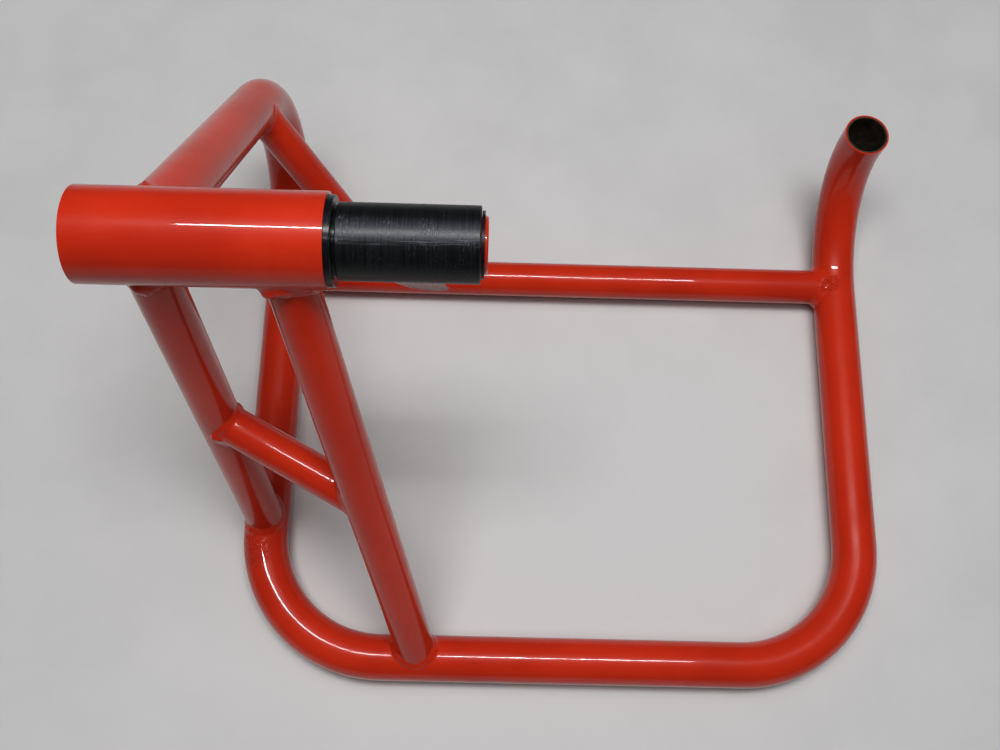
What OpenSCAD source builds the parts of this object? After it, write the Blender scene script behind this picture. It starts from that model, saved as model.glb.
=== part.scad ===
// Paddock stand for a motorcycle with a single-sided rear swingarm.
// It is a welded frame of bent steel tube that rests on the floor. A short
// spindle stands out sideways at axle height, and a free-turning black sleeve on
// that spindle goes into the hollow rear axle of the motorcycle.
//
// Frame coordinates used below: the centre line of the left floor rail is at
// x = 0, the centre line of the front floor rail is at y = 0, the floor is z = 0.
// Every node is then moved so that the origin is on the floor, in the middle of
// the stand.

/* [Floor loop] */
// Outside diameter of the bent main tube
main_tube_d = 33.7; // [30:0.1:36]
// Wall thickness of the bent main tube
main_tube_wall = 2.3; // [1.5:0.1:4]
// Distance between the centre lines of the left and right floor rails
rail_spacing = 455; // [400:1:520]
// Centre line radius of the two front corners
front_bend_r = 92; // [80:1:100]
// Centre line radius of the upturned handle
handle_bend_r = 90; // [70:1:90]
// Distance from the front rail to the centre line of the handle end
handle_y = 393; // [392:1:430]
// Height of the open handle end above the floor
handle_top_z = 118; // [112:1:160]

/* [Rear riser] */
// Centre line radius of the bend from the left rail into the riser
back_bend_r = 80; // [74:1:82]
// Distance from the front rail to the start of the back bend
back_bend_y = 325.5; // [324:0.5:330]
// Angle of the back bend, from the rail round to the riser
back_bend_angle = 136.4; // [136:0.1:137.5]
// Angle the riser leans away from the floor loop
riser_lean = 2.8; // [1.5:0.1:3.5]

/* [Cross rail and braces] */
// Outside diameter of the cross rail and of both legs
leg_tube_d = 28; // [26:0.5:30]
// Wall thickness of the cross rail, legs and braces
leg_tube_wall = 2; // [1.5:0.1:3]
// Distance from the front rail to the cross rail
cross_rail_y = 307; // [290:1:308]
// Outside diameter of the diagonal brace and the leg brace
brace_tube_d = 25; // [22:0.5:26]
// Where the diagonal brace lands on the cross rail
diagonal_foot_x = 87; // [80:1:140]
// How far up the riser, above its bend, the diagonal brace is aimed
diagonal_rise = 11; // [9:0.5:13]
// How far to the right of the riser's centre line it is aimed
diagonal_offset = 4; // [2:0.5:5]
// Height of the leg brace above the floor
leg_brace_z = 168.5; // [120:0.5:220]

/* [Legs] */
// Sideways position of the left leg at the housing
left_leg_top_x = -13; // [-16:1:-6]
// Where the left leg stands on the left rail
left_leg_foot_y = 99; // [96:1:130]
// Sideways position of the right leg at the housing
right_leg_top_x = 58.5; // [50:0.5:64]
// Where the right leg stands on the front rail
right_leg_foot_x = 121.5; // [112:0.5:160]

/* [Housing] */
// Outside diameter of the spindle housing
housing_d = 50.3; // [50:0.1:54]
// Wall thickness of the spindle housing
housing_wall = 3; // [2:0.1:4]
// Left end of the housing
housing_left_x = -42.5; // [-50:0.5:-42]
// Right end of the housing
housing_right_x = 85; // [80:0.5:90]
// Distance from the front rail to the spindle centre line
spindle_y = 190; // [186:1:194]
// Height of the spindle centre line above the floor
spindle_z = 341; // [335:1:350]

/* [Spindle and roller] */
// Outside diameter of the spindle tube
spindle_d = 30; // [28:0.5:32]
// Wall thickness of the spindle tube
spindle_wall = 3; // [2.5:0.1:4]
// Outside diameter of the roller sleeve
sleeve_d = 40; // [38:0.5:42]
// Length of the roller sleeve
sleeve_length = 72; // [60:1:90]
// Running clearance between sleeve and spindle, on the radius
sleeve_clearance = 0.05; // [0.02:0.01:0.09]
// Outside diameter of the thrust washer
washer_d = 47; // [45:0.5:49]

/* [Welds] */
// Size of the weld beads
weld = 2.6; // [1.8:0.1:2.6]

/* [Hidden] */
$fn = 96;

paint = [0.78, 0.13, 0.07];
black = [0.06, 0.06, 0.07];
dark_steel = [0.16, 0.16, 0.17];

main_r = main_tube_d / 2;
leg_r = leg_tube_d / 2;
brace_r = brace_tube_d / 2;
housing_r = housing_d / 2;
housing_bore_r = housing_r - housing_wall;
spindle_r = spindle_d / 2;
sleeve_r = sleeve_d / 2;
rail_z = main_r;

// The riser and the back bend lie in one plane, the upright plane of the left
// rail leaned outwards about the rail. In that plane the riser runs forwards and
// up from the end of the bend until it is level with the spindle centre line.
bend_end_y = back_bend_y + back_bend_r * sin(back_bend_angle);
bend_end_rise = back_bend_r * (1 - cos(back_bend_angle));
riser_length = (bend_end_y - spindle_y) / -cos(back_bend_angle);
riser_rise = bend_end_rise + riser_length * sin(back_bend_angle);

// Point in the leaned plane, from its distance to the front rail and its rise
function leaned_point(y, rise) =
    [-rise * sin(riser_lean), y, rail_z + rise * cos(riser_lean)];

riser_top = leaned_point(spindle_y, riser_rise);
riser_low = leaned_point(bend_end_y, bend_end_rise);
riser_up = (riser_top - riser_low) / riser_length;

// Joint points of the straight tubes, each on the centre line of its neighbour
left_leg_top = [left_leg_top_x, spindle_y, spindle_z];
left_leg_foot = [0, left_leg_foot_y, rail_z];
right_leg_top = [right_leg_top_x, spindle_y, spindle_z];
right_leg_foot = [right_leg_foot_x, 0, rail_z];
leg_brace_share = (spindle_z - leg_brace_z) / (spindle_z - rail_z);
leg_brace_left = left_leg_top + (left_leg_foot - left_leg_top) * leg_brace_share;
leg_brace_right = right_leg_top + (right_leg_foot - right_leg_top) * leg_brace_share;
diagonal_top = riser_low + riser_up * diagonal_rise + [diagonal_offset, 0, 0];
diagonal_foot = [diagonal_foot_x, cross_rail_y, rail_z];

// Positions along the spindle
ring_thickness = 5;
ring_recess = 3;
washer_flange = 3.5;
washer_hub = 1.2;
end_gap = 0.3;
washer_end_x = housing_right_x + washer_flange + washer_hub;
sleeve_left_x = washer_end_x + end_gap;
sleeve_right_x = sleeve_left_x + sleeve_length;
clip_thickness = 1.5;
clip_left_x = sleeve_right_x + end_gap;
groove_play = 0.05;
groove_depth = 0.7;
spindle_right_x = clip_left_x + clip_thickness + 1.8;
rear_ring_x = housing_left_x + ring_recess;
front_ring_x = housing_right_x - ring_recess - ring_thickness;

// The origin: on the floor, in the middle of the stand
rearmost_y = max(handle_y, back_bend_y + back_bend_r) + main_r;
middle_x = (housing_left_x + rail_spacing + main_r) / 2;
middle_y = (rearmost_y - main_r) / 2;

// Moves a piece from frame coordinates to the origin of the part
module placed() {
    translate([-middle_x, -middle_y, 0]) children();
}

// Solid round bar from point a to point b
module bar(a, b, r) {
    d = b - a;
    translate(a)
        rotate([0, acos(d[2] / norm(d)), atan2(d[1], d[0])])
            cylinder(h = norm(d), r = r);
}

// Round tube from point a to point b
module pipe(a, b, r, wall) {
    past = (b - a) / norm(b - a);
    difference() {
        bar(a, b, r);
        bar(a - past, b + past, r - wall);
    }
}

// Section of a bent tube about the z axis, solid when wall is zero
module bend(bend_r, r, wall, from, sweep) {
    rotate_extrude(angle = sweep, start = from)
        translate([bend_r, 0])
            difference() {
                circle(r = r);
                if (wall > 0) circle(r = r - wall);
            }
}

// Straight length of tube along +Z, solid when wall is zero
module length_z(h, r, wall) {
    difference() {
        cylinder(h = h, r = r);
        if (wall > 0) translate([0, 0, -1]) cylinder(h = h + 2, r = r - wall);
    }
}

// Straight length of tube along +Y, solid when wall is zero
module length_y(y0, y1, r, wall) {
    translate([0, y0, 0]) rotate([-90, 0, 0]) length_z(y1 - y0, r, wall);
}

// The pieces of the main tube, from the left rail round to the riser. Each is
// solid when wall is zero, which is how other tubes are fitted against it.
module left_rail(r, wall) {
    leaned() length_y(front_bend_r, back_bend_y, r, wall);
}

module right_rail(r, wall) {
    translate([rail_spacing, 0, rail_z])
        length_y(front_bend_r, handle_y - handle_bend_r, r, wall);
}

module front_rail(r, wall) {
    translate([0, 0, rail_z])
        rotate([0, 0, -90])
            length_y(front_bend_r, rail_spacing - front_bend_r, r, wall);
}

module front_left_bend(r, wall) {
    translate([front_bend_r, front_bend_r, rail_z])
        bend(front_bend_r, r, wall, 180, 90);
}

module front_right_bend(r, wall) {
    translate([rail_spacing - front_bend_r, front_bend_r, rail_z])
        bend(front_bend_r, r, wall, 270, 90);
}

// Quarter bend that turns the right rail up into the handle
module handle_bend(r, wall) {
    translate([rail_spacing, handle_y - handle_bend_r, rail_z + handle_bend_r])
        rotate([90, 0, 90])
            bend(handle_bend_r, r, wall, 270, 90);
}

module handle_end(r, wall) {
    translate([rail_spacing, handle_y, rail_z + handle_bend_r])
        length_z(handle_top_z - rail_z - handle_bend_r, r, wall);
}

// Puts a shape drawn in the leaned plane of the riser in its place
module leaned() {
    translate([0, 0, rail_z]) rotate([0, -riser_lean, 0]) children();
}

module back_bend(r, wall) {
    leaned()
        translate([0, back_bend_y, back_bend_r])
            rotate([90, 0, 90])
                bend(back_bend_r, r, wall, 270, back_bend_angle);
}

module riser(r, wall) {
    leaned()
        translate([0, back_bend_y, back_bend_r])
            rotate([90, 0, 90])
                rotate([0, 0, 270 + back_bend_angle])
                    translate([back_bend_r, 0, 0])
                        rotate([-90, 0, 0])
                            length_z(riser_length, r, wall);
}

// Left rail as a solid bar, for fitting the leg that stands on it
module left_rail_bar(r) {
    bar([0, front_bend_r, rail_z], [0, back_bend_y, rail_z], r);
}

// Riser as a solid bar that runs on straight past its bend, for fitting the brace
module riser_bar(r, past) {
    bar(riser_top, riser_low - riser_up * past, r);
}

// Housing as a solid bar, for fitting the tubes that meet it
module housing_bar(r) {
    bar([housing_left_x, spindle_y, spindle_z], [housing_right_x, spindle_y, spindle_z], r);
}

// Turns a profile of [radius, position] points about the spindle centre line
module turned(points) {
    translate([0, spindle_y, spindle_z])
        rotate([0, 90, 0])
            rotate_extrude() polygon(points);
}

// Weld bead around a tube that runs from a to b and stands on a neighbour.
// The first child is the neighbour grown by the bead size, the rest is what the
// bead stops against.
module bead(a, b, r) {
    difference() {
        intersection() {
            bar(a, b, r + weld);
            children(0);
        }
        bar(a, b, r);
        children([1 : $children - 1]);
    }
}

// Triangular weld ring on the spindle centre line, in the corner between a
// cylinder of radius r and a flat face at x. The signs give its two directions.
module corner_bead(x, r, outward, along) {
    turned([
        [r, x],
        [r + outward * weld, x],
        [r, x + along * weld]
    ]);
}

// The bent main tube: handle, right rail, front rail, left rail and riser in one
module main_tube() {
    color(paint)
        placed()
            difference() {
                union() {
                    handle_end(main_r, main_tube_wall);
                    handle_bend(main_r, main_tube_wall);
                    right_rail(main_r, main_tube_wall);
                    front_right_bend(main_r, main_tube_wall);
                    front_rail(main_r, main_tube_wall);
                    front_left_bend(main_r, main_tube_wall);
                    left_rail(main_r, main_tube_wall);
                    back_bend(main_r, main_tube_wall);
                    riser(main_r, main_tube_wall);
                }
                housing_bar(housing_r);
            }
}

// Straight tube across the back, between the two floor rails
module cross_rail() {
    color(paint)
        placed()
            difference() {
                pipe([0, cross_rail_y, rail_z], [rail_spacing, cross_rail_y, rail_z],
                     leg_r, leg_tube_wall);
                left_rail(main_r, 0);
                right_rail(main_r, 0);
                handle_bend(main_r, 0);
            }
}

// Brace from under the start of the riser down to the cross rail
module diagonal_brace() {
    color(paint)
        placed()
            difference() {
                pipe(diagonal_foot, diagonal_top, brace_r, leg_tube_wall);
                back_bend(main_r, 0);
                riser_bar(main_r, 8);
                cross_rail_bar(leg_r);
            }
}

// Cross rail as a solid bar, for fitting the diagonal brace
module cross_rail_bar(r) {
    bar([0, cross_rail_y, rail_z], [rail_spacing, cross_rail_y, rail_z], r);
}

// Leg from the housing down to the left rail
module left_leg() {
    color(paint)
        placed()
            difference() {
                pipe(left_leg_foot, left_leg_top, leg_r, leg_tube_wall);
                housing_bar(housing_r);
                riser(main_r, 0);
                left_rail_bar(main_r);
                front_left_bend(main_r, 0);
            }
}

// Leg from the housing down to the front rail
module right_leg() {
    color(paint)
        placed()
            difference() {
                pipe(right_leg_foot, right_leg_top, leg_r, leg_tube_wall);
                housing_bar(housing_r);
                front_rail(main_r, 0);
            }
}

// Level brace between the two legs
module leg_brace() {
    color(paint)
        placed()
            difference() {
                pipe(leg_brace_left, leg_brace_right, brace_r, leg_tube_wall);
                bar(left_leg_foot, left_leg_top, leg_r);
                bar(right_leg_foot, right_leg_top, leg_r);
            }
}

// Thick tube that carries the spindle at axle height
module housing_tube() {
    color(paint)
        placed()
            pipe([housing_left_x, spindle_y, spindle_z],
                 [housing_right_x, spindle_y, spindle_z],
                 housing_r, housing_wall);
}

// Flat ring that centres the spindle in the housing
module support_ring(x) {
    turned([
        [spindle_r, x],
        [housing_bore_r, x],
        [housing_bore_r, x + ring_thickness],
        [spindle_r, x + ring_thickness]
    ]);
}

module front_support_ring() {
    color(paint) placed() support_ring(front_ring_x);
}

module rear_support_ring() {
    color(paint) placed() support_ring(rear_ring_x);
}

// Spindle tube with a groove for the retaining ring and a bevelled tip
module spindle_tube() {
    bore_r = spindle_r - spindle_wall;
    groove_r = spindle_r - groove_depth;
    bevel = 0.8;
    color(paint)
        placed()
            turned([
                [bore_r, rear_ring_x],
                [spindle_r, rear_ring_x],
                [spindle_r, clip_left_x - groove_play],
                [groove_r, clip_left_x - groove_play],
                [groove_r, clip_left_x + clip_thickness + groove_play],
                [spindle_r, clip_left_x + clip_thickness + groove_play],
                [spindle_r, spindle_right_x - bevel],
                [spindle_r - bevel, spindle_right_x],
                [bore_r, spindle_right_x]
            ]);
}

// Washer that takes the side thrust of the sleeve, with a small raised hub
module thrust_washer() {
    bore_r = spindle_r + 0.15;
    hub_r = sleeve_r - 1.8;
    flange_r = washer_d / 2;
    flange_x = housing_right_x + washer_flange;
    edge = 0.5;
    color(black)
        placed()
            turned([
                [bore_r, housing_right_x],
                [flange_r, housing_right_x],
                [flange_r, flange_x - edge],
                [flange_r - edge, flange_x],
                [hub_r, flange_x],
                [hub_r, washer_end_x],
                [bore_r, washer_end_x]
            ]);
}

// Sleeve that turns on the spindle and carries the motorcycle
module roller_sleeve() {
    bore_r = spindle_r + sleeve_clearance;
    edge = 0.6;
    color(black)
        placed()
            turned([
                [bore_r, sleeve_left_x],
                [sleeve_r - edge, sleeve_left_x],
                [sleeve_r, sleeve_left_x + edge],
                [sleeve_r, sleeve_right_x - edge],
                [sleeve_r - edge, sleeve_right_x],
                [bore_r, sleeve_right_x]
            ]);
}

// Spring ring in the spindle groove, open at the bottom, with two plier lugs
module retaining_ring() {
    inner_r = spindle_r - groove_depth;
    ring_width = 3.2;
    opening = 44;
    lug_r = 2.6;
    lug_hole_r = 1;
    lug_centre_r = inner_r + lug_r + 0.2;
    lug_angle = opening / 2 - 9;
    color(dark_steel)
        placed()
            translate([clip_left_x, spindle_y, spindle_z])
                rotate([0, 90, 0])
                    difference() {
                        union() {
                            rotate_extrude(angle = 360 - opening, start = opening / 2)
                                translate([inner_r, 0]) square([ring_width, clip_thickness]);
                            for (side = [-1, 1])
                                rotate([0, 0, side * (lug_angle + 3)])
                                    translate([lug_centre_r, 0, 0])
                                        cylinder(h = clip_thickness, r = lug_r);
                        }
                        for (side = [-1, 1])
                            rotate([0, 0, side * (lug_angle + 3)])
                                translate([lug_centre_r, 0, -1])
                                    cylinder(h = clip_thickness + 2, r = lug_hole_r);
                        translate([0, 0, -1])
                            cylinder(h = clip_thickness + 2, r = inner_r);
                    }
}

// Bead where the riser meets the back of the housing
module riser_weld() {
    color(paint)
        placed()
            bead(riser_top, riser_low, main_r) {
                housing_bar(housing_r + weld);
                housing_bar(housing_r);
                bar(left_leg_foot, left_leg_top, leg_r);
            }
}

module left_leg_top_weld() {
    color(paint)
        placed()
            bead(left_leg_top, left_leg_foot, leg_r) {
                housing_bar(housing_r + weld);
                housing_bar(housing_r);
                bar(riser_top, riser_low, main_r + weld);
            }
}

module right_leg_top_weld() {
    color(paint)
        placed()
            bead(right_leg_top, right_leg_foot, leg_r) {
                housing_bar(housing_r + weld);
                housing_bar(housing_r);
            }
}

module left_leg_foot_weld() {
    color(paint)
        placed()
            bead(left_leg_foot, left_leg_top, leg_r) {
                union() {
                    left_rail_bar(main_r + weld);
                    front_left_bend(main_r + weld, 0);
                }
                left_rail_bar(main_r);
                front_left_bend(main_r, 0);
            }
}

module right_leg_foot_weld() {
    color(paint)
        placed()
            bead(right_leg_foot, right_leg_top, leg_r) {
                front_rail(main_r + weld, 0);
                front_rail(main_r, 0);
            }
}

module leg_brace_left_weld() {
    color(paint)
        placed()
            bead(leg_brace_left, leg_brace_right, brace_r) {
                bar(left_leg_foot, left_leg_top, leg_r + weld);
                bar(left_leg_foot, left_leg_top, leg_r);
            }
}

module leg_brace_right_weld() {
    color(paint)
        placed()
            bead(leg_brace_right, leg_brace_left, brace_r) {
                bar(right_leg_foot, right_leg_top, leg_r + weld);
                bar(right_leg_foot, right_leg_top, leg_r);
            }
}

module cross_rail_left_weld() {
    color(paint)
        placed()
            bead([0, cross_rail_y, rail_z], [60, cross_rail_y, rail_z], leg_r) {
                left_rail(main_r + weld, 0);
                left_rail(main_r, 0);
            }
}

module cross_rail_right_weld() {
    color(paint)
        placed()
            bead([rail_spacing, cross_rail_y, rail_z],
                 [rail_spacing - 60, cross_rail_y, rail_z], leg_r) {
                union() {
                    right_rail(main_r + weld, 0);
                    handle_bend(main_r + weld, 0);
                }
                right_rail(main_r, 0);
                handle_bend(main_r, 0);
            }
}

// Bead where the diagonal brace meets the riser, just clear of the curving bend
module diagonal_top_weld() {
    past_bend = 50;
    bend_gap = 0.15;
    color(paint)
        placed()
            bead(diagonal_top, diagonal_foot, brace_r) {
                riser_bar(main_r + weld, past_bend);
                riser_bar(main_r, past_bend);
                back_bend(main_r + bend_gap, 0);
            }
}

module diagonal_foot_weld() {
    color(paint)
        placed()
            bead(diagonal_foot, diagonal_top, brace_r) {
                cross_rail_bar(leg_r + weld);
                cross_rail_bar(leg_r);
            }
}

module front_ring_weld() {
    color(paint)
        placed()
            corner_bead(front_ring_x + ring_thickness, housing_bore_r, -1, 1);
}

module front_spindle_weld() {
    color(paint)
        placed()
            corner_bead(front_ring_x + ring_thickness, spindle_r, 1, 1);
}

module rear_ring_weld() {
    color(paint) placed() corner_bead(rear_ring_x, housing_bore_r, -1, -1);
}

module rear_spindle_weld() {
    color(paint)
        placed()
            corner_bead(rear_ring_x + ring_thickness, spindle_r, 1, 1);
}

main_tube();
cross_rail();
diagonal_brace();
left_leg();
right_leg();
leg_brace();
housing_tube();
front_support_ring();
rear_support_ring();
spindle_tube();
thrust_washer();
roller_sleeve();
retaining_ring();
riser_weld();
left_leg_top_weld();
right_leg_top_weld();
left_leg_foot_weld();
right_leg_foot_weld();
leg_brace_left_weld();
leg_brace_right_weld();
cross_rail_left_weld();
cross_rail_right_weld();
diagonal_top_weld();
diagonal_foot_weld();
front_ring_weld();
front_spindle_weld();
rear_ring_weld();
rear_spindle_weld();
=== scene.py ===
"""Looks of the paddock stand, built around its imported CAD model.

The CAD tubes keep their shape and get painted steel and machined nylon materials.
Each CAD weld bead is replaced by an uneven fillet under thick paint, which follows
the same corner between its two tubes, and weld spatter is added beside two of them.
Lengths are in metres, in the frame of the CAD model.
"""

import math
import random
from collections import namedtuple

import bmesh
import bpy
from mathutils import Matrix, Vector, noise
from mathutils.bvhtree import BVHTree


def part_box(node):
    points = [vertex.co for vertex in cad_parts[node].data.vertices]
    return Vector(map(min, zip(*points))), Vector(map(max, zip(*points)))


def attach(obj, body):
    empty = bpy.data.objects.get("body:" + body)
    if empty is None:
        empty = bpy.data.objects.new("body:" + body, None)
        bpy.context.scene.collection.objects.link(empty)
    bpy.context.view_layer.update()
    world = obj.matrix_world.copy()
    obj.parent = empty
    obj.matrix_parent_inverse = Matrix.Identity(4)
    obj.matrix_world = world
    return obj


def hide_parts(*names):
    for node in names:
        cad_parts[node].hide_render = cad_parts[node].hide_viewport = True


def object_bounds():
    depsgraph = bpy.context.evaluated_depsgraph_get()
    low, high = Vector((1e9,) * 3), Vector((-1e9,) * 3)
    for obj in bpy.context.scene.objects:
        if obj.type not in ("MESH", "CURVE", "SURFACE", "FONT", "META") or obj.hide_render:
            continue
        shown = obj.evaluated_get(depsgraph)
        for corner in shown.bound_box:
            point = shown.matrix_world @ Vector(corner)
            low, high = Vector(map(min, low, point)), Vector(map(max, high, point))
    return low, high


MM = 0.001
MICRON = 0.000001

PAINTED_NODES = [
    "main_tube",
    "cross_rail",
    "diagonal_brace",
    "left_leg",
    "right_leg",
    "leg_brace",
    "housing_tube",
    "front_support_ring",
    "rear_support_ring",
    "spindle_tube",
]

# Sizes of the CAD tubes that the boxes of their nodes don't give
TUBE_RADIUS = 16.85 * MM
TUBE_WALL = 2.3 * MM
HANDLE_BEND = 90 * MM
CROSS_RADIUS = 14 * MM
SLEEVE_RADIUS = 20 * MM

# Finding the root of a weld, the line where its CAD bead touches both of its tubes
TOUCHING = 0.25 * MM
ROOT_CORNER = 0.4
LARGEST_BREAK = 4 * MM
LARGEST_RING_BREAK = 8 * MM
ROOT_STEP = 0.9 * MM
BEAD_REACH = 6 * MM
PROBE_REACH_IN_MM = 1.4

# The section of a weld bead, whose points are settled by short steps
COLUMNS = 12
SETTLING_STEPS = 6
LONGEST_STEP = 1.0 * MM
SMALLEST_SINE = 0.35
SMALLEST_LEG_SHARE = 0.3
ON_SURFACE = 0.02 * MM
BACK_BEHIND_ROOT = 0.5 * MM

# How deep the edges of a weld bead dip into the tubes, so that no gap shows
SINK = 0.02 * MM

# Where the sleeve's band of painted highlight lies and where it is scratched, in radians in front of its
# top
PAINTED_SHEEN_AT = 0.1
DRAGGED_AT = 0.38

# A weld is its CAD node, the two nodes that it joins, how far it spreads over each of
# them, how much it bulges, and its lumps. A lump's place is given in the box of the
# CAD bead, from 0 to 1 on each axis, and on_second is the share of the lump that lies
# on the second of the two nodes.
Weld = namedtuple("Weld", "node joined spread bulge lumps")
Lump = namedtuple("Lump", "place radius height on_second")

WELDS = [
    Weld(
        "riser_weld",
        ("main_tube", "housing_tube"),
        spread=6.0 * MM,
        bulge=0.4 * MM,
        lumps=[Lump((0.58, 0.91, 0.86), 7 * MM, 6 * MM, on_second=0.3)],
    ),
    Weld(
        "left_leg_top_weld",
        ("left_leg", "housing_tube"),
        spread=5.0 * MM,
        bulge=0.7 * MM,
        lumps=[
            Lump((0.43, 0.11, 0.80), 4 * MM, 3.0 * MM, on_second=0.1),
            Lump((0.60, 0.12, 0.78), 4 * MM, 3.4 * MM, on_second=0.1),
            Lump((0.80, 0.23, 0.58), 4 * MM, 1.6 * MM, on_second=0.2),
        ],
    ),
    Weld(
        "right_leg_top_weld",
        ("right_leg", "housing_tube"),
        spread=5.0 * MM,
        bulge=0.7 * MM,
        lumps=[
            Lump((0.24, 0.15, 0.70), 3.5 * MM, 2.6 * MM, on_second=0.9),
            Lump((0.35, 0.11, 0.80), 3.5 * MM, 3.0 * MM, on_second=0.9),
            Lump((0.50, 0.10, 0.84), 3.5 * MM, 2.2 * MM, on_second=0.8),
            Lump((0.90, 0.34, 0.40), 2.5 * MM, 2.0 * MM, on_second=0.6),
        ],
    ),
    Weld(
        "left_leg_foot_weld",
        ("left_leg", "main_tube"),
        spread=4.5 * MM,
        bulge=0.7 * MM,
        lumps=[Lump((0.25, 0.14, 0.71), 5 * MM, 1.2 * MM, on_second=0.5)],
    ),
    Weld("right_leg_foot_weld", ("right_leg", "main_tube"), 4.2 * MM, 0.9 * MM, []),
    Weld(
        "leg_brace_left_weld",
        ("leg_brace", "left_leg"),
        spread=4.5 * MM,
        bulge=0.4 * MM,
        lumps=[
            Lump((0.32, 0.14, 0.60), 4.5 * MM, 2.4 * MM, on_second=0.5),
            Lump((0.80, 0.80, 0.60), 7.0 * MM, 1.0 * MM, on_second=0.5),
        ],
    ),
    Weld("leg_brace_right_weld", ("leg_brace", "right_leg"), 3.0 * MM, 0.1 * MM, []),
    Weld("cross_rail_left_weld", ("cross_rail", "main_tube"), 5.0 * MM, 0.4 * MM, []),
    Weld(
        "cross_rail_right_weld",
        ("cross_rail", "main_tube"),
        spread=5.0 * MM,
        bulge=0.3 * MM,
        lumps=[Lump((0.50, 0.36, 0.90), 3.5 * MM, 1.2 * MM, on_second=0.5)],
    ),
    Weld("diagonal_top_weld", ("diagonal_brace", "main_tube"), 3.5 * MM, 0.2 * MM, []),
    Weld("diagonal_foot_weld", ("diagonal_brace", "cross_rail"), 4.5 * MM, 0.3 * MM, []),
    Weld("front_ring_weld", ("front_support_ring", "housing_tube"), 3.0 * MM, 0.3 * MM, []),
    Weld("front_spindle_weld", ("front_support_ring", "spindle_tube"), 3.0 * MM, 0.3 * MM, []),
    Weld("rear_ring_weld", ("rear_support_ring", "housing_tube"), 3.0 * MM, 0.3 * MM, []),
    Weld("rear_spindle_weld", ("rear_support_ring", "spindle_tube"), 3.0 * MM, 0.3 * MM, []),
]

# Where the camera stands, and the directions to the right and down in its picture
CAMERA_PLACE = Vector((-0.0487, -0.23525, 0.83118))
CAMERA_RIGHT = Vector((0.99958, 0.02053, 0.02048))
CAMERA_DOWN = Vector((0.02571, -0.95393, -0.29894))
CAMERA_LENS = 37.9

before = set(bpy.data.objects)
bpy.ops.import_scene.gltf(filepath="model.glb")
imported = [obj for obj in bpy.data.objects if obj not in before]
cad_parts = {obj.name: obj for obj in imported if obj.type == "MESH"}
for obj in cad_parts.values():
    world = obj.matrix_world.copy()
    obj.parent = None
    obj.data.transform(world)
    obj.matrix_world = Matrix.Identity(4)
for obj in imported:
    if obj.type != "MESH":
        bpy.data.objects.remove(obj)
cad_low, cad_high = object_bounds()


# ---------------------------------------------------------------- node helpers


class Shader:
    """A material under construction: short calls that add nodes and join them."""

    def __init__(self, name):
        self.material = bpy.data.materials.new(name)
        self.material.use_nodes = True
        self.tree = self.material.node_tree
        self.tree.nodes.clear()
        self.output = self.tree.nodes.new("ShaderNodeOutputMaterial")
        coordinates = self.tree.nodes.new("ShaderNodeTexCoord")
        self.object_point = coordinates.outputs["Object"]

    def node(self, kind, **settings):
        made = self.tree.nodes.new("ShaderNode" + kind)
        for key, value in settings.items():
            setattr(made, key, value)
        return made

    def feed(self, socket, value):
        """Joins a socket to another node's output, or sets it to a plain value."""
        if isinstance(value, bpy.types.NodeSocket):
            self.tree.links.new(value, socket)
        else:
            socket.default_value = value

    def noise(self, scale, detail=2.0, roughness=0.5, point=None):
        made = self.node("TexNoise")
        self.feed(made.inputs["Vector"], point or self.object_point)
        made.inputs["Scale"].default_value = scale
        made.inputs["Detail"].default_value = detail
        made.inputs["Roughness"].default_value = roughness
        return made.outputs["Fac"]

    def stretched(self, scale, point=None):
        """The object point with each axis scaled, for streaks and turning lines."""
        made = self.node("Mapping")
        self.feed(made.inputs["Vector"], point or self.object_point)
        made.inputs["Scale"].default_value = scale
        return made.outputs["Vector"]

    def band(self, value, low, high, start=0.0, end=1.0):
        """Maps value from low..high to start..end with soft ends, clamped."""
        made = self.node("MapRange", interpolation_type="SMOOTHSTEP")
        self.feed(made.inputs["Value"], value)
        made.inputs["From Min"].default_value = low
        made.inputs["From Max"].default_value = high
        made.inputs["To Min"].default_value = start
        made.inputs["To Max"].default_value = end
        return made.outputs["Result"]

    def math(self, operation, a, b=0.0):
        made = self.node("Math", operation=operation)
        self.feed(made.inputs[0], a)
        self.feed(made.inputs[1], b)
        return made.outputs["Value"]

    def length(self, a, b):
        """The length of the hypotenuse over a and b."""
        squares = self.math("ADD", self.math("MULTIPLY", a, a), self.math("MULTIPLY", b, b))
        return self.math("SQRT", squares)

    def mix(self, share, a, b):
        """A colour between a and b."""
        made = self.node("Mix", data_type="RGBA")
        self.feed(made.inputs["Factor"], share)
        self.feed(made.inputs["A"], a)
        self.feed(made.inputs["B"], b)
        return made.outputs["Result"]

    def bump(self, height, distance, strength=1.0, onto=None):
        made = self.node("Bump")
        self.feed(made.inputs["Height"], height)
        made.inputs["Distance"].default_value = distance
        made.inputs["Strength"].default_value = strength
        if onto is not None:
            self.feed(made.inputs["Normal"], onto)
        return made.outputs["Normal"]

    def surface(self, color, roughness, normal=None, **settings):
        made = self.node("BsdfPrincipled")
        self.feed(made.inputs["Base Color"], color)
        self.feed(made.inputs["Roughness"], roughness)
        if normal is not None:
            self.feed(made.inputs["Normal"], normal)
        for key, value in settings.items():
            made.inputs[key.replace("_", " ")].default_value = value
        return made

    def finish(self, surface):
        self.tree.links.new(surface, self.output.inputs["Surface"])
        return self.material


# ------------------------------------------------------------------- materials


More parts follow.
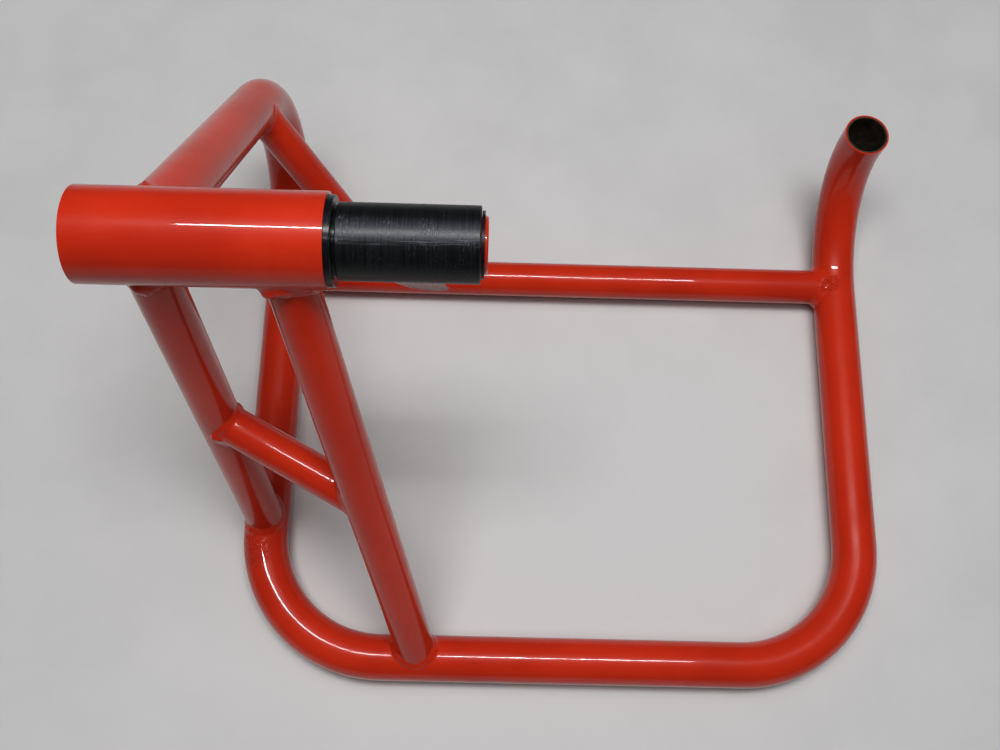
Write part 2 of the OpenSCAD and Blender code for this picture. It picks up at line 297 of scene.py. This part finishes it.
def red_paint(s, weld_grain=0.0, gritty=()):
    """Glossy orange-red paint, a little uneven, with orange peel, nibs and fine scratches.

    gritty lists the middle, the radius and the height of each area where the paint
    covers grit left by the welding.
    """
    broad = s.noise(14, detail=3)
    blotches = s.noise(60, detail=4, roughness=0.6)
    color = s.mix(s.band(broad, 0.3, 0.7), (0.51, 0.027, 0.0080, 1), (0.61, 0.036, 0.0100, 1))
    color = s.mix(s.band(blotches, 0.55, 0.8, 0, 0.3), color, (0.42, 0.020, 0.006, 1))
    dust = s.band(s.noise(1400, detail=2, roughness=0.7), 0.68, 0.80, 0, 0.16)
    color = s.mix(dust, color, (0.62, 0.22, 0.16, 1))
    normal = s.bump(s.noise(70, detail=2), 0.30 * MM, 0.5)
    normal = s.bump(s.noise(330, detail=1), 0.035 * MM, 0.6, onto=normal)
    nibs = s.band(s.noise(900, detail=0), 0.74, 0.82)
    normal = s.bump(nibs, 0.06 * MM, 0.5, onto=normal)
    for middle, radius, height in gritty:
        offset = s.node("VectorMath", operation="DISTANCE")
        s.feed(offset.inputs[0], s.object_point)
        s.feed(offset.inputs[1], middle)
        near = s.band(offset.outputs["Value"], 0.5 * radius, radius, 1, 0)
        grit = s.band(s.noise(760, detail=1), 0.40, 0.75)
        normal = s.bump(s.math("MULTIPLY", near, grit), height, 1.0, onto=normal)
    scratches = s.noise(1, detail=3, point=s.stretched((90, 900, 90)))
    wear = s.band(scratches, 0.62, 0.75, 0, 0.12)
    smudges = s.band(s.noise(30, detail=3), 0.35, 0.7, 0.28, 0.38)
    roughness = s.math("ADD", smudges, wear)
    if weld_grain:
        grain = s.noise(260, detail=3, roughness=0.6)
        normal = s.bump(grain, weld_grain * MM, 0.8, onto=normal)
    return s.surface(
        color,
        roughness,
        normal,
        Specular_IOR_Level=0.15,
        Coat_Weight=0.8,
        Coat_Roughness=0.035,
        Coat_IOR=1.38,
    )


def layered(s, share, under, over):
    """Shows the shader over in place of the shader under where share is 1."""
    joined = s.node("MixShader")
    s.feed(joined.inputs[0], share)
    s.tree.links.new(under.outputs[0], joined.inputs[1])
    s.tree.links.new(over.outputs[0], joined.inputs[2])
    return joined


def open_tube_paint(name, bend_centre, bend_radius, inside_radius, gritty):
    """Red paint with gritty areas, and dark rusty steel inside the handle's open end."""
    s = Shader(name)
    split = s.node("SeparateXYZ")
    s.feed(split.inputs["Vector"], s.object_point)
    across = s.math("SUBTRACT", split.outputs["X"], bend_centre.x)
    along = s.math("SUBTRACT", split.outputs["Y"], bend_centre.y)
    below = s.math("MINIMUM", s.math("SUBTRACT", split.outputs["Z"], bend_centre.z), 0)
    reach = s.length(along, below)
    from_axis = s.length(across, s.math("SUBTRACT", reach, bend_radius))
    inside = s.math("LESS_THAN", from_axis, inside_radius)
    inside = s.math("MULTIPLY", inside, s.math("GREATER_THAN", along, 2 * MM))
    scale = s.noise(160, detail=5, roughness=0.65)
    rust = s.mix(s.band(scale, 0.35, 0.65), (0.026, 0.024, 0.017, 1), (0.070, 0.050, 0.030, 1))
    roughness = s.band(scale, 0.3, 0.7, 0.5, 0.8)
    steel = s.surface(rust, roughness, s.bump(scale, 0.25 * MM, 0.6), Metallic=0.2)
    paint_over = red_paint(s, gritty=gritty)
    return s.finish(layered(s, inside, paint_over, steel).outputs[0])


def patched_paint(name, axis, middle, half_length, half_width, slant):
    """Red paint with one pale, dull greyish patch.

    axis is a point on the centre line of the tube, which runs along X. middle is the
    patch's place as (x, distance round the tube from its top towards the front), and
    slant is how much of that distance it loses for each unit of x.
    """
    s = Shader(name)
    split = s.node("SeparateXYZ")
    s.feed(split.inputs["Vector"], s.object_point)
    along = s.math("SUBTRACT", split.outputs["X"], middle[0])
    forward = s.math("SUBTRACT", axis.y, split.outputs["Y"])
    angle = s.math("ARCTAN2", forward, s.math("SUBTRACT", split.outputs["Z"], axis.z))
    around = s.math("SUBTRACT", s.math("MULTIPLY", angle, CROSS_RADIUS), middle[1])
    around = s.math("ADD", around, s.math("MULTIPLY", along, -slant))
    size = s.length(
        s.math("DIVIDE", along, half_length),
        s.math("DIVIDE", around, half_width),
    )
    ragged = s.math("MULTIPLY", s.noise(260, detail=4), 0.22)
    patch = s.band(s.math("ADD", size, ragged), 1.08, 1.15, 1, 0)
    grain = s.noise(500, detail=3)
    # The patch is a pale, dull greyish colour painted over the red, with a fine grain
    pale_patch = s.surface(
        s.mix(s.band(grain, 0.3, 0.7), (0.27, 0.19, 0.18, 1), (0.34, 0.26, 0.25, 1)),
        s.band(grain, 0.3, 0.7, 0.5, 0.65),
        s.bump(grain, 0.05 * MM, 0.6),
    )
    return s.finish(layered(s, patch, red_paint(s), pale_patch).outputs[0])


def plain_paint(name, weld_grain=0.0, gritty=()):
    s = Shader(name)
    return s.finish(red_paint(s, weld_grain, gritty).outputs[0])


def turned_nylon(name, centre, gloss, wear_and_sheen):
    """Black nylon turned on a lathe: fine rings, pale scuffs and lengthwise scratches.

    A paler bluish band near the top is a painted highlight, and the pale scuffs gather
    there, partly real scuffs and partly painted glints; just in front of it the axle
    was dragged along and left long scratches.
    """
    s = Shader(name)
    split = s.node("SeparateXYZ")
    s.feed(split.inputs["Vector"], s.object_point)
    side = s.math("SUBTRACT", split.outputs["Y"], centre.y)
    up = s.math("SUBTRACT", split.outputs["Z"], centre.z)
    angle = s.math("ARCTAN2", side, up)
    around = s.node("CombineXYZ")
    s.feed(around.inputs["X"], split.outputs["X"])
    s.feed(around.inputs["Y"], s.math("MULTIPLY", angle, SLEEVE_RADIUS))
    point = around.outputs["Vector"]
    fine_rings = s.noise(1, detail=3, roughness=0.7, point=s.stretched((3200, 30, 1), point))
    rings = s.noise(1, detail=2, point=s.stretched((1100, 22, 1), point))
    waves = s.noise(1, detail=2, point=s.stretched((60, 160, 1), point))
    sway = s.node("CombineXYZ")
    s.feed(sway.inputs["Y"], s.math("MULTIPLY", waves, 1.2 * MM))
    swayed = s.node("VectorMath", operation="ADD")
    s.feed(swayed.inputs[0], point)
    s.feed(swayed.inputs[1], sway.outputs["Vector"])
    lengthwise = s.stretched((22, 1500, 1), swayed.outputs["Vector"])
    scratches = s.noise(1, detail=3, roughness=0.7, point=lengthwise)
    scratch = s.band(scratches, 0.68, 0.76, 0, wear_and_sheen)
    scuffs = s.noise(1, detail=4, roughness=0.75, point=s.stretched((1500, 330, 1), point))
    where_scuffed = s.band(s.noise(70, detail=2), 0.42, 0.62, 0, wear_and_sheen)
    scuff_and_glint = s.math("MULTIPLY", s.band(scuffs, 0.54, 0.68), where_scuffed)
    # Painted highlight, not rubbing: a paler band whose share peaks just in front of the top and fades
    # towards the sides
    off_painted_sheen = s.math("ABSOLUTE", s.math("ADD", angle, PAINTED_SHEEN_AT))
    painted_sheen_band = s.band(off_painted_sheen, 0.08, 0.42, wear_and_sheen, 0)
    color = s.mix(s.band(rings, 0.35, 0.65), (0.0040, 0.0050, 0.0052, 1), (0.009, 0.010, 0.012, 1))
    # The painted highlight takes a pale bluish colour, broken up by the turning rings
    painted_sheen = s.math("MULTIPLY", painted_sheen_band, s.band(rings, 0.25, 0.75, 0.15, 0.65))
    color = s.mix(painted_sheen, color, (0.070, 0.075, 0.100, 1))
    # The pale scuffs gather in the band of painted highlight: partly real scuffs, partly painted glints
    # of the lamp
    scuff_and_glint = s.math("MULTIPLY", scuff_and_glint, s.band(off_painted_sheen, 0.15, 0.50, 1, 0.12))
    color = s.mix(s.math("MULTIPLY", scuff_and_glint, 0.80), color, (0.34, 0.36, 0.42, 1))
    off_dragged = s.math("ABSOLUTE", s.math("ADD", angle, DRAGGED_AT))
    dragged = s.band(off_dragged, 0.03, 0.13, wear_and_sheen, 0)
    deep = s.math("MULTIPLY", dragged, s.band(scratches, 0.52, 0.62))
    scratch = s.math("MAXIMUM", scratch, deep)
    color = s.mix(s.math("MULTIPLY", scratch, 0.45), color, (0.24, 0.26, 0.31, 1))
    normal = s.bump(fine_rings, 0.035 * MM, 0.9)
    normal = s.bump(rings, 0.03 * MM, 0.7, onto=normal)
    normal = s.bump(s.math("ADD", scuff_and_glint, scratch), -0.07 * MM, 1.0, onto=normal)
    roughness = s.band(rings, 0.3, 0.7, gloss, gloss + 0.08)
    roughness = s.math("SUBTRACT", roughness, s.math("MULTIPLY", scuff_and_glint, 0.10))
    return s.finish(s.surface(color, roughness, normal, Specular_IOR_Level=0.34).outputs[0])


def blackened_steel(name):
    """Spring steel with a thin black finish, worn through to the metal in places."""
    s = Shader(name)
    grain = s.noise(1200, detail=3)
    worn = s.band(s.noise(420, detail=3), 0.58, 0.72, 0, 0.6)
    color = s.mix(worn, (0.022, 0.022, 0.024, 1), (0.20, 0.20, 0.21, 1))
    normal = s.bump(grain, 0.03 * MM, 0.8)
    return s.finish(s.surface(color, s.band(grain, 0.3, 0.7, 0.3, 0.5), normal, Metallic=0.7).outputs[0])


def floor_material():
    """Plain pale floor with a barely visible mottling."""
    s = Shader("pale_floor")
    mottle = s.noise(9, detail=6, roughness=0.6)
    color = s.mix(s.band(mottle, 0.3, 0.7), (0.600, 0.600, 0.605, 1), (0.645, 0.645, 0.650, 1))
    normal = s.bump(s.noise(120, detail=3), 0.2 * MM, 0.3)
    return s.finish(s.surface(color, s.band(mottle, 0.3, 0.7, 0.5, 0.62), normal).outputs[0])


# ------------------------------------------------------------------ weld beads


def mesh_object(name, bm):
    mesh = bpy.data.meshes.new(name)
    bm.to_mesh(mesh)
    bm.free()
    made = bpy.data.objects.new(name, mesh)
    bpy.context.scene.collection.objects.link(made)
    return made


def inside_box(node, place):
    """A point in a CAD node's box, given from 0 to 1 on each axis."""
    low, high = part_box(node)
    return Vector([low[i] + place[i] * (high[i] - low[i]) for i in range(3)])


def surface_tree(node):
    """Finds the nearest point on a CAD node's surface."""
    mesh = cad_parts[node].data
    corners = [v.co for v in mesh.vertices]
    return BVHTree.FromPolygons(corners, [tuple(p.vertices) for p in mesh.polygons])


def height_over(tree, point, outward):
    """Signed distance from a surface and the direction in which it grows.

    outward tells the outer side of the surface near the point from its inner side.
    """
    place, _, _, distance = tree.find_nearest(point)
    if distance < ON_SURFACE:
        return 0.0, outward
    side = 1 if (point - place).dot(outward) > 0 else -1
    return side * distance, (point - place) * side / distance


def step_by(normals, lengths):
    """The shortest step that moves by lengths[i] along each of the two normals[i]."""
    first, second = normals
    sine = max(first.cross(second).length, SMALLEST_SINE)
    over_first = (second - first * first.dot(second)).normalized()
    over_second = (first - second * second.dot(first)).normalized()
    return (over_second * lengths[0] + over_first * lengths[1]) / sine


def away_from(tree, point):
    """Direction from the nearest point of a surface to the given point."""
    return (point - tree.find_nearest(point)[0]).normalized()


def chained(edges):
    """Orders loose edges into one line of points, from a free end if there is one."""
    neighbours = {}
    for edge in edges:
        a, b = edge.verts
        neighbours.setdefault(a, []).append(b)
        neighbours.setdefault(b, []).append(a)
    loose = set(neighbours)
    ends = [v for v in loose if len(neighbours[v]) == 1]
    current = min(ends or loose, key=lambda v: v.index)
    line = []
    while current is not None:
        line.append(current.co.copy())
        loose.discard(current)
        onwards = [v for v in neighbours[current] if v in loose]
        near_ends = [
            v for v in ends if v in loose and (v.co - current.co).length < LARGEST_BREAK
        ]
        choices = onwards or near_ends
        current = min(choices, key=lambda v: (v.co - current.co).length) if choices else None
    return line


def evenly_spaced(line, closed, step):
    """Points at equal distances along a line of points."""
    points = line + line[:1] if closed else line
    reach = [0.0]
    for a, b in zip(points, points[1:]):
        reach.append(reach[-1] + (b - a).length)
    count = round(reach[-1] / step)
    spaced = []
    section = 0
    for i in range(count if closed else count + 1):
        target = reach[-1] * i / count
        while section < len(points) - 2 and reach[section + 1] < target:
            section += 1
        share = (target - reach[section]) / (reach[section + 1] - reach[section])
        spaced.append(points[section].lerp(points[section + 1], share))
    return spaced


def root_line(node, trees):
    """The points along a weld's root, whether they form a ring, and the bead's corners.

    The root of a bead that ends in the open runs on a little past both of its ends.
    """
    bm = bmesh.new()
    bm.from_mesh(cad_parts[node].data)
    bmesh.ops.remove_doubles(bm, verts=bm.verts, dist=0.002 * MM)
    bm.verts.index_update()
    touching = {
        v for v in bm.verts if all(tree.find_nearest(v.co)[3] < TOUCHING for tree in trees)
    }
    corner_edges = [
        e
        for e in bm.edges
        if touching.issuperset(e.verts) and e.calc_face_angle(0) > ROOT_CORNER
    ]
    line = chained(corner_edges)
    ring = (line[0] - line[-1]).length < LARGEST_RING_BREAK
    roots = evenly_spaced(line, ring, ROOT_STEP)
    if not ring:
        before = (roots[0] - roots[2]).normalized() * ROOT_STEP
        after = (roots[-1] - roots[-3]).normalized() * ROOT_STEP
        roots = [roots[0] + before * i for i in (3, 2, 1)] + roots
        roots += [roots[-1] + after * i for i in (1, 2, 3)]
    bead_corners = [v.co.copy() for v in bm.verts]
    bm.free()
    return roots, ring, bead_corners


def corner_normals(root, trees, bead_corners):
    """The directions straight away from the two tubes, just outside the root."""
    near = [corner - root for corner in bead_corners if (corner - root).length < BEAD_REACH]
    outward = sum(near, Vector()).normalized()
    probe = root + outward * PROBE_REACH_IN_MM * MM
    return [away_from(tree, probe) for tree in trees]


def settled_point(root, trees, normals, wanted, farthest):
    """The point that lies wanted[i] over each tube, but no farther from the root."""
    point = root + step_by(normals, wanted)
    for _ in range(SETTLING_STEPS):
        heights, rising = zip(*map(height_over, trees, (point, point), normals))
        step = step_by(rising, [wanted[i] - heights[i] for i in range(2)])
        point += step * min(1.0, LONGEST_STEP / max(step.length, MICRON))
    reach = (point - root).length
    if reach > farthest:
        point = root.lerp(point, farthest / reach)
    return point


def bead_row(weld, root, trees, normals, lumps, shift):
    """One section of a bead: an arc from tube to tube, and one point behind the root.

    The arc is hollow and runs out nearly flush on both tubes. Its middle is raised by
    the bulge and by the lumps near by.
    """
    outward = (normals[0] + normals[1]).normalized()
    sine = normals[0].cross(normals[1]).length
    leg = weld.spread * max(sine, SMALLEST_LEG_SHARE)
    leg *= 1 + 0.16 * noise.noise(root * 90 + shift) + 0.08 * noise.noise(root * 320 + shift)
    legs = [leg, leg]
    height = weld.bulge * (1 + 0.8 * noise.noise(root * 160 + shift))
    for lump in lumps:
        swell = lump.height * math.exp(-(((root - lump.place).length / lump.radius) ** 2))
        legs[0] += 1.5 * lump.on_second * swell
        legs[1] += 1.5 * (1 - lump.on_second) * swell
        height += 0.7 * swell
    farthest = 1.3 * weld.spread + max(legs)
    row = []
    for column in range(COLUMNS + 1):
        turn = math.pi / 2 * column / COLUMNS
        wanted = (
            legs[0] * (1 - math.cos(turn)) - SINK,
            legs[1] * (1 - math.sin(turn)) - SINK,
        )
        point = settled_point(root, trees, normals, wanted, farthest)
        lift = math.sin(math.pi * column / COLUMNS) ** 2
        texture = 1 + 0.5 * noise.noise(point * 420 + shift)
        row.append(point + outward * height * lift * texture)
    row.append(root - outward * BACK_BEHIND_ROOT)
    return row


def inside_cad_box(point):
    return Vector([min(max(point[i], cad_low[i]), cad_high[i]) for i in range(3)])


def skinned(rows, ring):
    """A smooth mesh over rows of points, with a crease where a bead meets its tubes."""
    bm = bmesh.new()
    rows = [[bm.verts.new(inside_cad_box(point)) for point in row] for row in rows]
    around = len(rows[0])
    for i in range(len(rows) if ring else len(rows) - 1):
        here = rows[i]
        there = rows[(i + 1) % len(rows)]
        for j in range(around):
            k = (j + 1) % around
            bm.faces.new((here[j], here[k], there[k], there[j]))
        for toe in (0, COLUMNS):
            bm.edges.get((here[toe], there[toe])).smooth = False
    if not ring:
        bm.faces.new(rows[0][::-1])
        bm.faces.new(rows[-1])
    bmesh.ops.recalc_face_normals(bm, faces=bm.faces)
    for face in bm.faces:
        face.smooth = True
    return bm


def weld_bead(weld, seed):
    """Replaces a CAD bead by a smooth, slightly uneven fillet under thick paint."""
    trees = [surface_tree(name) for name in weld.joined]
    roots, ring, bead_corners = root_line(weld.node, trees)
    lumps = []
    for lump in weld.lumps:
        aim = inside_box(weld.node, lump.place)
        centre = min(roots, key=lambda root: (root - aim).length)
        lumps.append(lump._replace(place=centre))
    shift = Vector((seed * 7.3, seed * 3.1, seed * 5.7))
    rows = []
    for root in roots:
        normals = corner_normals(root, trees, bead_corners)
        rows.append(bead_row(weld, root, trees, normals, lumps, shift))
    bead = mesh_object(weld.node + "_painted", skinned(rows, ring))
    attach(bead, "frame")
    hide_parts(weld.node)
    return bead


def spatter(name, spots, surface, seed):
    """Small painted-over weld drops on a tube around the given points.

    Each spot is a point, how far the drops spread from it, and their number.
    """
    chance = random.Random(seed)
    bm = bmesh.new()
    for middle, reach, count in spots:
        for _ in range(count):
            away = Vector([chance.gauss(0, 1) for _ in range(3)]).normalized()
            target = middle + away * reach * chance.uniform(0.3, 1)
            place, normal, _, _ = surface.find_nearest(target)
            radius = chance.uniform(0.7, 1.7) * MM
            flat = Matrix.Diagonal((1, chance.uniform(0.7, 1), chance.uniform(0.25, 0.5), 1))
            turn = normal.to_track_quat("Z", "Y").to_matrix().to_4x4()
            spin = Matrix.Rotation(chance.uniform(0, math.tau), 4, "Z")
            bmesh.ops.create_icosphere(
                bm,
                subdivisions=2,
                radius=radius,
                matrix=Matrix.Translation(place) @ turn @ spin @ flat,
            )
    for face in bm.faces:
        face.smooth = True
    drops = mesh_object(name, bm)
    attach(drops, "frame")
    return drops


def give(piece, material):
    """Gives a CAD node or a new piece its only material."""
    piece.data.materials.clear()
    piece.data.materials.append(material)


# ---------------------------------------------------------- floor, lights, camera


def add_floor():
    bm = bmesh.new()
    bmesh.ops.create_grid(bm, x_segments=1, y_segments=1, size=6)
    floor = mesh_object("floor", bm)
    floor.location.z = -0.1 * MM
    give(floor, floor_material())


def area_light(name, place, aim, width, length, power, color=(1.0, 1.0, 1.0)):
    data = bpy.data.lights.new(name, "AREA")
    data.shape = "RECTANGLE"
    data.size = width
    data.size_y = length
    data.energy = power
    data.color = color
    lamp = bpy.data.objects.new(name, data)
    lamp.location = place
    lamp.rotation_euler = (aim - place).to_track_quat("-Z", "Y").to_euler()
    bpy.context.scene.collection.objects.link(lamp)
    return lamp


def add_lights():
    """A thin tube makes the narrow highlights, and two wide lights the soft shadows."""
    place = Vector((-0.10, 0.13, 2.2))
    below = Vector((-0.10, 0.13, 0))
    warm = (1.0, 0.99, 0.98)
    tube = area_light("ceiling_tube", place, below, 1.28, 0.06, 28, warm)
    tube.visible_diffuse = False
    spread = area_light("ceiling_spread", place, below, 1.3, 0.5, 24, warm)
    spread.visible_glossy = False
    fill = area_light("soft_fill", Vector((0.1, 0.0, 2.6)), Vector(), 2.2, 2.2, 31)
    fill.visible_glossy = False


def add_world():
    world = bpy.data.worlds.new("room")
    world.use_nodes = True
    background = world.node_tree.nodes["Background"]
    background.inputs["Color"].default_value = (0.80, 0.80, 0.82, 1)
    background.inputs["Strength"].default_value = 0.06
    bpy.context.scene.world = world


def add_camera():
    data = bpy.data.cameras.new("camera")
    data.sensor_width = 36
    data.lens = CAMERA_LENS
    camera = bpy.data.objects.new("camera", data)
    bpy.context.scene.collection.objects.link(camera)
    ahead = CAMERA_RIGHT.cross(CAMERA_DOWN)
    turn = Matrix((CAMERA_RIGHT, -CAMERA_DOWN, -ahead)).transposed().to_4x4()
    camera.matrix_world = Matrix.Translation(CAMERA_PLACE) @ turn
    bpy.context.scene.camera = camera


# ----------------------------------------------------------------------- scene

# Places on the CAD model that the materials and the spatter refer to
spindle_low, spindle_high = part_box("spindle_tube")
spindle_middle = (spindle_low + spindle_high) / 2
cross_low, cross_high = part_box("cross_rail")
cross_middle = (cross_low + cross_high) / 2
patch_middle = (cross_low.x + 99 * MM, 10.5 * MM)
by_foot = inside_box("left_leg_foot_weld", (0.25, 0.14, 0.71)) + Vector((2 * MM, -13 * MM, 0))
by_rail_end = inside_box("cross_rail_right_weld", (0.55, 0.42, 0.95)) + Vector((3 * MM, 0, 0))

tube_low, tube_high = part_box("main_tube")
handle_x = tube_high.x - TUBE_RADIUS
bend_top = tube_low.z + TUBE_RADIUS + HANDLE_BEND
handle_back = max(
    v.co.y
    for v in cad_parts["main_tube"].data.vertices
    if v.co.x > handle_x - TUBE_RADIUS and v.co.z > bend_top
)
handle_bend_centre = Vector((handle_x, handle_back - TUBE_RADIUS - HANDLE_BEND, bend_top))

foot_grit = (by_foot, 22 * MM, 0.5 * MM)
rail_end_grit = (by_rail_end, 10 * MM, 0.6 * MM)
paint = plain_paint("red_paint")
weld_paint = plain_paint("red_paint_on_welds", weld_grain=0.2, gritty=[rail_end_grit])
tube_paint = open_tube_paint(
    "red_paint_open_tube",
    handle_bend_centre,
    HANDLE_BEND,
    TUBE_RADIUS - TUBE_WALL + 1.2 * MM,
    [foot_grit, rail_end_grit],
)
rail_paint = patched_paint(
    "red_paint_pale_patch", cross_middle, patch_middle, 25 * MM, 6.5 * MM, 0.20
)

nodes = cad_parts
for name in PAINTED_NODES:
    give(nodes[name], paint)
give(nodes["main_tube"], tube_paint)
give(nodes["cross_rail"], rail_paint)
give(nodes["roller_sleeve"], turned_nylon("turned_nylon", spindle_middle, 0.32, 1.0))
give(nodes["thrust_washer"], turned_nylon("washer_nylon", spindle_middle, 0.20, 0.3))
give(nodes["retaining_ring"], blackened_steel("blackened_spring_steel"))

for seed, weld in enumerate(WELDS):
    give(weld_bead(weld, seed), weld_paint)

spatter_spots = [
    (by_foot + Vector((-2 * MM, 7 * MM, 0)), 6 * MM, 12),
    (by_foot, 9 * MM, 10),
    (by_rail_end, 5 * MM, 10),
]
give(spatter("weld_spatter", spatter_spots, surface_tree("main_tube"), seed=11), paint)

add_floor()
add_lights()
add_world()
add_camera()
bpy.context.scene.view_settings.view_transform = "Standard"
bpy.context.scene.view_settings.gamma = 0.9
